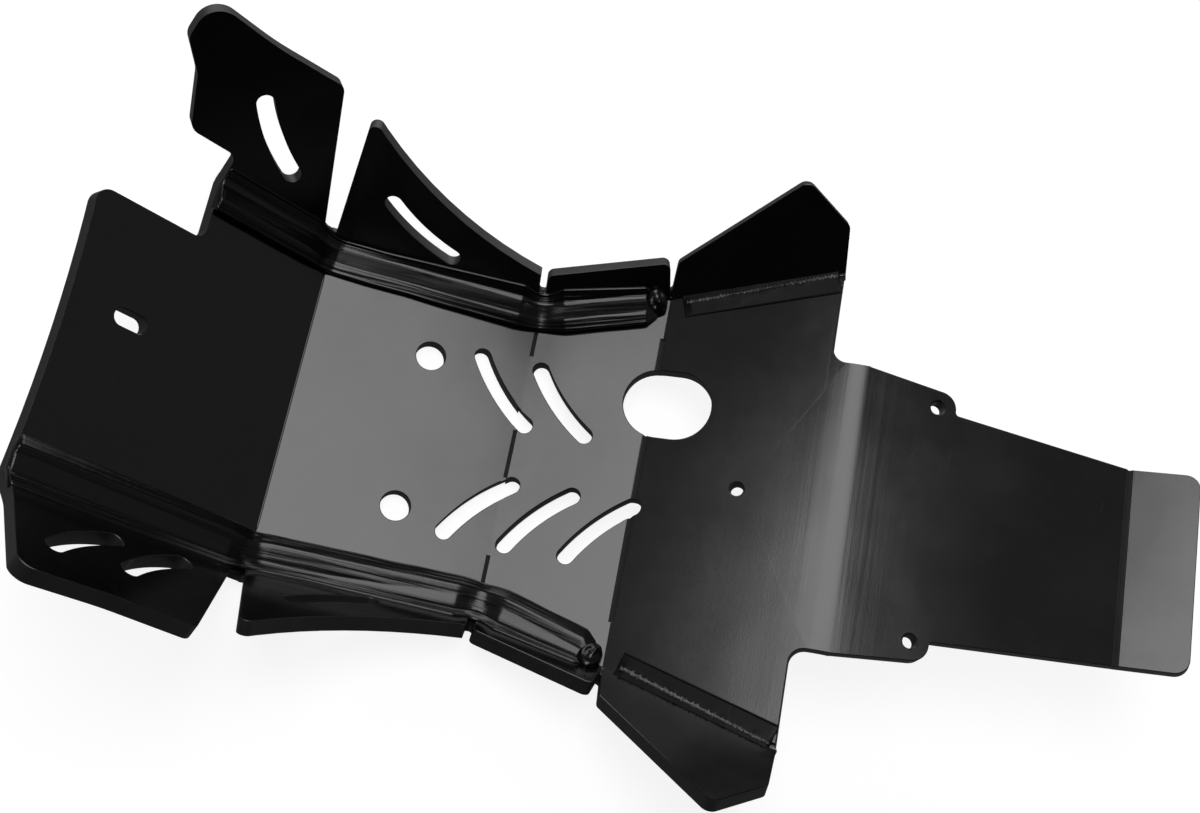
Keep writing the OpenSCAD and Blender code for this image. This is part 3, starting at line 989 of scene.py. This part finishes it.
    def _rise(self, u: float, reach: float, share: float, at: Station) -> float:
        """The height of the weld's top over the line from its toe to its tip.

        Args:
            u: the share of the way from toe to tip.
            reach: the distance along the weld.
            share: the share of fullness there.
            at: the station there.

        Returns:
            The height in millimetres.
        """
        edge = min(1.0, u / self.rim, (1.0 - u) / self.rim)
        solid = self.crown * math.sin(math.pi * u) + self.bulge * math.sin(2.0 * math.pi * u)
        least = solid * share + edge * self.cover
        dent = 0.0
        for k in self.creases:
            away = (reach - self.reaches[k]) / self.pinch_width
            dent = max(dent, math.exp(-(away**2)))
        inward = (at.root - at.toe).normalized()
        wide, high = (at.tip - at.toe).dot(inward), (at.tip - at.toe).dot(at.panel_up)
        ridge = self.base[1] + self.side.swell * (high - self.base[0])
        section = tuple((x, z * ridge) for x, z in self.flank)
        section += tuple((x, ridge + z) for x, z in self.back)
        section += tuple((wide + x, high + z) for x, z in self.brink)
        full = (eased(section, u * wide) - u * high) * (1.0 - self.pinch * dent)
        lines = patterned(self.flow, reach, u, self.side.value)
        lines += 0.5 * patterned(self.fine_flow, reach, u, self.side.value)
        ripple = patterned(self.ripple, reach, u) * (0.2 + 0.8 * dent)
        return max(least, full * share + edge * self.streak * (0.6 + lines + ripple))

    def _place(self, along: float, around: float) -> Vector:
        """A point of the weld's skin.

        Args:
            along: the share of the weld's run.
            around: the share of its ring, the top first.

        Returns:
            The point in metres.
        """
        reach = along * (self.reaches[-1] + self.nose) - self.nose
        lead = min(0.0, reach)
        reach = max(0.0, reach)
        at, share = self._at(reach)
        run = (self.stations[1].root - self.stations[0].root).normalized()
        step = around * (self.top + self.under)
        drift = patterned(self.drift, reach, 0.0, self.side.value) * self.wander
        shift = drift * self.toe_shift[0] + self.toe_shift[1]
        toe = at.toe + (at.toe - at.root).normalized() * shift - at.panel_up * self.sink
        tip = at.tip - at.wing_up * self.sink
        out = (at.panel_up + at.wing_up).normalized()
        if step <= self.top + 1e-6:
            u = step / self.top
            point = toe.lerp(tip, u) + out * self._rise(u, reach, share, at)
        else:
            back = self.root / (1.0 + at.panel_up.dot(at.wing_up))
            path = [
                tip,
                at.tip - at.wing_up * self.root,
                at.root - back * (at.panel_up + at.wing_up),
                at.toe - at.panel_up * self.root,
                toe,
            ]
            t = (step - self.top) / self.under * 4.0
            i = min(3, int(t))
            point = path[i].lerp(path[i + 1], t - i)
        if lead < 0.0:
            round_off = math.sqrt(max(0.0, 1.0 - (lead / self.nose) ** 2))
            heart = at.toe.lerp(at.tip, 0.5) - out * self.heart
            swell = self.nose_range[0] + self.nose_range[1] * round_off
            point = heart.lerp(point, swell) + run * lead
        return on_side(point, self.side)

    def build(self, material: Material) -> Piece:
        """Builds the weld.

        Args:
            material: its finish.

        Returns:
            The piece.
        """
        size = Vector((self.reaches[-1] * MM, self.uv_width))
        mesh = closed_sweep(self.along, self.top + self.under, self._place, size)
        return finished(f"weld_{self.side.word}", mesh, [material])


@dataclass
class WeldEnd:
    """The blunt end of a weld, pressed off with a twist before the ear's notch."""

    weld: WeldBead
    across: float = 9.0
    length: float = 6.5
    thickness: float = 5.0
    twist: float = 0.45
    turns: float = 7.0
    set_back: float = 2.0
    lump: float = 0.10
    lump_scale: float = 1.7
    tip: float = 0.7
    tip_at: Pair = (0.25, 0.1)
    tip_width: float = 0.02
    uv_width: float = 0.01

    def build(self, material: Material) -> Piece:
        """Builds the end.

        Args:
            material: its finish.

        Returns:
            The piece.
        """
        last, before = self.weld.stations[-1], self.weld.stations[-3]
        out = (last.panel_up + last.wing_up).normalized()
        run = (last.root - before.root).normalized()
        over = out.cross(run)
        middle = last.toe.lerp(last.tip, 0.5) - run * self.set_back
        seed = Vector((0.0, 0.0, self.weld.side.value))
        mesh = bmesh.new()
        bmesh.ops.create_icosphere(mesh, subdivisions=5, radius=1.0)
        run_layer = mesh.loops.layers.uv.new("run")
        for face in mesh.faces:
            face.smooth = True
            for loop in face.loops:
                loop[run_layer].uv = loop.vert.co.xy * self.uv_width
        for vert in mesh.verts:
            x, y, z = vert.co
            lumps = 1.0 + self.lump * noise.noise(vert.co * self.lump_scale + seed)
            swirl = 0.0
            if z > 0.0:
                turn = self.turns * math.hypot(x, y) + math.atan2(y, x)
                away = (x - self.tip_at[0]) ** 2 + (y - self.tip_at[1]) ** 2
                swirl = self.twist * math.sin(turn) * z
                swirl += self.tip * math.exp(-away / self.tip_width)
            point = (
                middle
                + run * x * self.length * lumps
                + over * y * self.across * lumps
                + out * (z * self.thickness * lumps + swirl)
            )
            vert.co = on_side(point, self.weld.side)
        if self.weld.side is Side.FULL:
            bmesh.ops.reverse_faces(mesh, faces=mesh.faces[:])
        return finished(f"weld_end_{self.weld.side.word}", mesh, [material])


@dataclass
class EarBand:
    """The scored band beside an ear's fold, pressed up by the fold."""

    side: Side
    lines: FoldLines
    start: float = 7.0
    margin: float = 3.0
    width: float = 12.0
    crest: Pair = (3.2, 1.0)
    rise: float = 0.9
    lap: float = 1.6
    lip: float = 0.45
    lip_at: float = 0.06
    lip_width: float = 0.03
    clear: float = 0.02
    depth: float = 1.2
    fade: Pair = (4.0, 2.0)
    wave: float = 0.12
    waves: Triple = (6.0, 4.0, 2.0)
    turns: Ring = (0.0, 3.0, 3.8, 4.3)
    spans: Ring = (3.0, 0.8, 0.5, 0.7)
    uv_width: float = 0.012
    along: int = 160
    around: int = 90

    def build(self, material: Material) -> Piece:
        """Builds the band.

        Args:
            material: its finish.

        Returns:
            The piece.
        """
        line = self.lines.shoulder
        panel_up, wing_up = line.panel_up, line.wing_up
        length = line.length - self.start - self.margin

        def place(along: float, around: float) -> Vector:
            """A point of the band's skin at a share of its run and of its ring."""
            s = self.start + along * length
            end = min(
                1.0, along * length / self.fade[0], (1.0 - along) * length / self.fade[1]
            )
            inset = self.crest[0] + (self.crest[1] - self.crest[0]) * along
            wave = self.wave * patterned(self.waves, s, around, self.side.value)
            inner = line.panel @ Vector((s, -self.width, 0.0))
            path = [
                inner,
                line.panel @ Vector((s, -inset, 0.0)) + panel_up * (self.rise * end + wave),
                line.wing @ Vector((s, self.lap, 0.0)),
                line.panel @ Vector((s, 0.0, 0.0)) - (panel_up + wing_up) * self.depth,
                inner - panel_up,
            ]
            step = around * sum(self.spans)
            i = sum(step > turn for turn in self.turns[1:])
            u = (step - self.turns[i]) / self.spans[i]
            point = path[i].lerp(path[i + 1], u)
            if i == 0:
                lip = self.lip * math.exp(-(((u - self.lip_at) / self.lip_width) ** 2))
                point = point + panel_up * (lip * end + self.clear)
            return on_side(point, self.side)

        mesh = closed_sweep(self.along, self.around, place, Vector((length * MM, self.uv_width)))
        return finished(f"ear_band_{self.side.word}", mesh, [material])


@dataclass
class EarBurr:
    """The ragged burr that the fold of an ear has pushed up along its crease."""

    side: Side
    lines: FoldLines
    start: float = 9.0
    margin: float = 4.0
    lift: float = 0.8
    crest: Pair = (3.2, 1.0)
    radius: float = 0.5
    rough: float = 1.3
    grain: float = 0.9
    bias: float = 0.1
    stretch: float = 1.4
    uv_width: float = 0.005
    along: int = 560
    around: int = 10

    def build(self, material: Material) -> Piece:
        """Builds the burr.

        Args:
            material: its finish.

        Returns:
            The piece.
        """
        line = self.lines.shoulder
        up = (line.panel_up + line.wing_up).normalized()
        run = line.panel.to_3x3() @ Vector((1.0, 0.0, 0.0))
        across = up.cross(run)
        length = line.length - self.start - self.margin

        def place(along: float, around: float) -> Vector:
            """A point of the burr's skin at a share of its run and of its ring."""
            s = self.start + along * length
            turn = 2.0 * math.pi * around
            where = (s / self.grain, math.cos(turn), math.sin(turn) + self.side.value)
            size = self.radius + self.rough * max(0.0, noise.noise(Vector(where)) + self.bias)
            inset = self.crest[0] + (self.crest[1] - self.crest[0]) * along
            point = line.panel @ Vector((s, -inset, 0.0))
            point = point + across * math.cos(turn) * size * self.stretch
            point = point + up * (math.sin(turn) * size + self.lift)
            return on_side(point, self.side)

        mesh = closed_sweep(self.along, self.around, place, Vector((length * MM, self.uv_width)))
        return finished(f"ear_burr_{self.side.word}", mesh, [material])


@dataclass
class CreaseLine:
    """A fine line that folding has raised along a crease."""

    name: str
    panel: Matrix
    start: float
    end: float
    shift: float = -0.2
    radius: float = 0.45
    fade: float = 3.0
    thin: float = 0.2
    section: Pair = (1.4, 0.5)
    uv_width: float = 0.003
    along: int = 60
    around: int = 12

    def build(self, material: Material) -> Piece:
        """Builds the line.

        Args:
            material: its finish.

        Returns:
            The piece.
        """
        length = abs(self.end - self.start)

        def place(along: float, around: float) -> Vector:
            """A point of the line's skin at a share of its run and of its ring."""
            turn = 2.0 * math.pi * around
            full = min(1.0, along * length / self.fade, (1.0 - along) * length / self.fade)
            size = self.radius * (self.thin + (1.0 - self.thin) * full)
            x = self.shift + self.section[0] * size * math.cos(turn)
            y = self.start + along * (self.end - self.start)
            z = self.section[1] * size * math.sin(turn)
            return self.panel @ Vector((x, y, z)) * MM

        mesh = closed_sweep(self.along, self.around, place, Vector((length * MM, self.uv_width)))
        return finished(self.name, mesh, [material])


@dataclass(frozen=True)
class Lamp:
    """A soft lamp that the camera doesn't see and that faces down or at a point."""

    name: str
    shape: LampShape
    at: Triple
    size: Pair
    radiance: float
    aim: Triple | None = None

    def hang(self) -> None:
        """Hangs the lamp, with a face as bright as its radiance, where 1 is white."""
        light = bpy.data.lights.new(self.name, "AREA")
        light.shape = self.shape.value
        light.size, light.size_y = self.size
        share = math.pi / 4.0 if self.shape is LampShape.ELLIPSE else 1.0
        area = self.size[0] * self.size[1] * share
        light.energy = self.radiance * math.pi * area
        lamp = linked(self.name, light)
        lamp.location = self.at
        lamp.visible_camera = False
        if self.aim:
            way = Vector(self.aim) - lamp.location
            lamp.rotation_euler = way.to_track_quat("-Z", "Y").to_euler()


LAMPS = (
    Lamp("softbox", LampShape.ELLIPSE, (-0.87, 1.25, 6.0), (3.8, 4.2), 3.1),
    Lamp("softbox_rim", LampShape.ELLIPSE, (-0.78, 1.15, 6.2), (4.25, 4.7), 1.4),
    Lamp(
        "back_strip", LampShape.RECTANGLE, (-0.1, 1.6, 0.62), (2.8, 0.6), 3.0, (0.0, 0.0, 0.05)
    ),
)


@dataclass
class Studio:
    """The floor, the world, the lamps and the camera."""

    floor_size: float = 8.0
    floor_tone: float = 0.12
    glossy_share: float = 0.06
    seen_tone: float = 0.22
    glow: float = 0.88
    back_rise: Pair = (-0.45, 0.15)
    back_fall: Pair = (0.42, 0.6)
    beyond: float = 0.2
    high_rise: Pair = (0.0, 0.3)
    low_share: float = 0.15
    world_tones: Pair = (0.015, 0.21)
    camera_at: Triple = (-0.0455154, -0.2730859, 0.8441561)
    right: Triple = (0.95635349, 0.18177352, 0.22879332)
    down: Triple = (0.24681188, -0.9216399, -0.29943913)
    ahead: Triple = (0.15643495, 0.34283857, -0.9262774)
    lens: float = 49.42
    sensor: float = 36.0
    clip: Pair = (0.01, 50.0)

    def floor(self, height: float) -> None:
        """Lays the pale floor, which looks white and keeps a soft shadow.

        Args:
            height: the height of what the plate stands on.
        """
        mesh = bmesh.new()
        bmesh.ops.create_grid(mesh, x_segments=1, y_segments=1, size=self.floor_size / 2.0)
        bmesh.ops.translate(mesh, verts=mesh.verts[:], vec=Vector((0.0, 0.0, height)))
        data = bpy.data.meshes.new("floor")
        mesh.to_mesh(data)
        mesh.free()
        floor = linked("floor", data)
        material = bpy.data.materials.new("pale_floor")
        material.use_nodes = True
        shader = Shader(material.node_tree)
        path = shader.node("ShaderNodeLightPath")
        plain = shader.node("ShaderNodeBsdfDiffuse", {"Color": (self.floor_tone,) * 3 + (1.0,)})
        dim = shader.node("ShaderNodeBsdfDiffuse", {"Color": (self.seen_tone,) * 3 + (1.0,)})
        glow = shader.node("ShaderNodeEmission", {"Color": WHITE, "Strength": self.glow})
        seen = shader.node("ShaderNodeAddShader", {0: dim.outputs[0], 1: glow.outputs[0]})
        glossy = shader.math("MULTIPLY", path.outputs["Is Glossy Ray"], self.glossy_share)
        who = shader.math("MAXIMUM", path.outputs["Is Camera Ray"], glossy)
        ways = {0: who, 1: plain.outputs[0], 2: seen.outputs[0]}
        both = shader.node("ShaderNodeMixShader", ways)
        shader.node("ShaderNodeOutputMaterial", {"Surface": both.outputs[0]})
        data.materials.append(material)
        floor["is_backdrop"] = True

    def world(self) -> None:
        """Makes the world white to the camera and dim to the plate."""
        world = bpy.data.worlds.new("studio")
        bpy.context.scene.world = world
        world.use_nodes = True
        shader = Shader(world.node_tree)
        path = shader.node("ShaderNodeLightPath")
        white = shader.node("ShaderNodeBackground", {"Color": WHITE, "Strength": 1.0})
        where = shader.node("ShaderNodeTexCoord").outputs["Generated"]
        way = shader.node("ShaderNodeSeparateXYZ", {"Vector": where})
        back = shader.span(way.outputs["Y"], self.back_rise, (0.0, 1.0))
        beyond = shader.span(way.outputs["Y"], self.back_fall, (1.0, self.beyond))
        back = shader.math("MULTIPLY", back, beyond)
        high = shader.span(way.outputs["Z"], self.high_rise, (self.low_share, 1.0))
        level = shader.math("MULTIPLY", back, high)
        level = shader.span(level, (0.0, 1.0), self.world_tones)
        dim = shader.node("ShaderNodeBackground", {"Color": WHITE, "Strength": level})
        ways = {0: path.outputs["Is Camera Ray"], 1: dim.outputs[0], 2: white.outputs[0]}
        both = shader.node("ShaderNodeMixShader", ways)
        shader.node("ShaderNodeOutputWorld", {"Surface": both.outputs[0]})

    def camera(self) -> None:
        """Sets the camera at the photograph's viewing angle."""
        data = bpy.data.cameras.new("camera")
        data.sensor_fit = "HORIZONTAL"
        data.sensor_width = self.sensor
        data.lens = self.lens
        data.clip_start, data.clip_end = self.clip
        camera = linked("camera", data)
        x, y, z = Vector(self.right), -Vector(self.down), -Vector(self.ahead)
        turned = Matrix((x, y, z)).transposed().to_4x4()
        camera.matrix_world = Matrix.Translation(Vector(self.camera_at)) @ turned
        bpy.context.scene.camera = camera

    def build(self, height: float) -> None:
        """Builds the studio.

        Args:
            height: the height of the floor.
        """
        self.floor(height)
        self.world()
        for lamp in LAMPS:
            lamp.hang()
        self.camera()
        bpy.context.scene.view_settings.view_transform = "Standard"


def main() -> None:
    """Dresses the plate piece by piece and lights it."""
    logging.basicConfig(level=logging.INFO, format="%(name)s %(message)s")
    cad_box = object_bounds()
    effects = Effects()
    sizes = PlateSizes()
    lines = FoldLines(sizes)
    pressed, cut = PRESSED.material(effects), CUT.material(effects)
    extruded = EXTRUDED.material(effects)
    scored, burred = SCORED.material(effects), BURRED.material(effects)
    FoldedSheet(sizes).build([pressed, cut])
    for side in Side:
        weld = WeldBead(side, lines)
        weld.build(extruded)
        WeldEnd(weld).build(extruded)
        EarBand(side, lines).build(scored)
        EarBurr(side, lines).build(burred)
    toe = sizes.floor_half - WeldBead.leg
    CreaseLine("front_crease", lines.floor_frame, -toe, toe).build(pressed)
    Studio().build(cad_box[0][2])


if __name__ == "__main__":
    main()
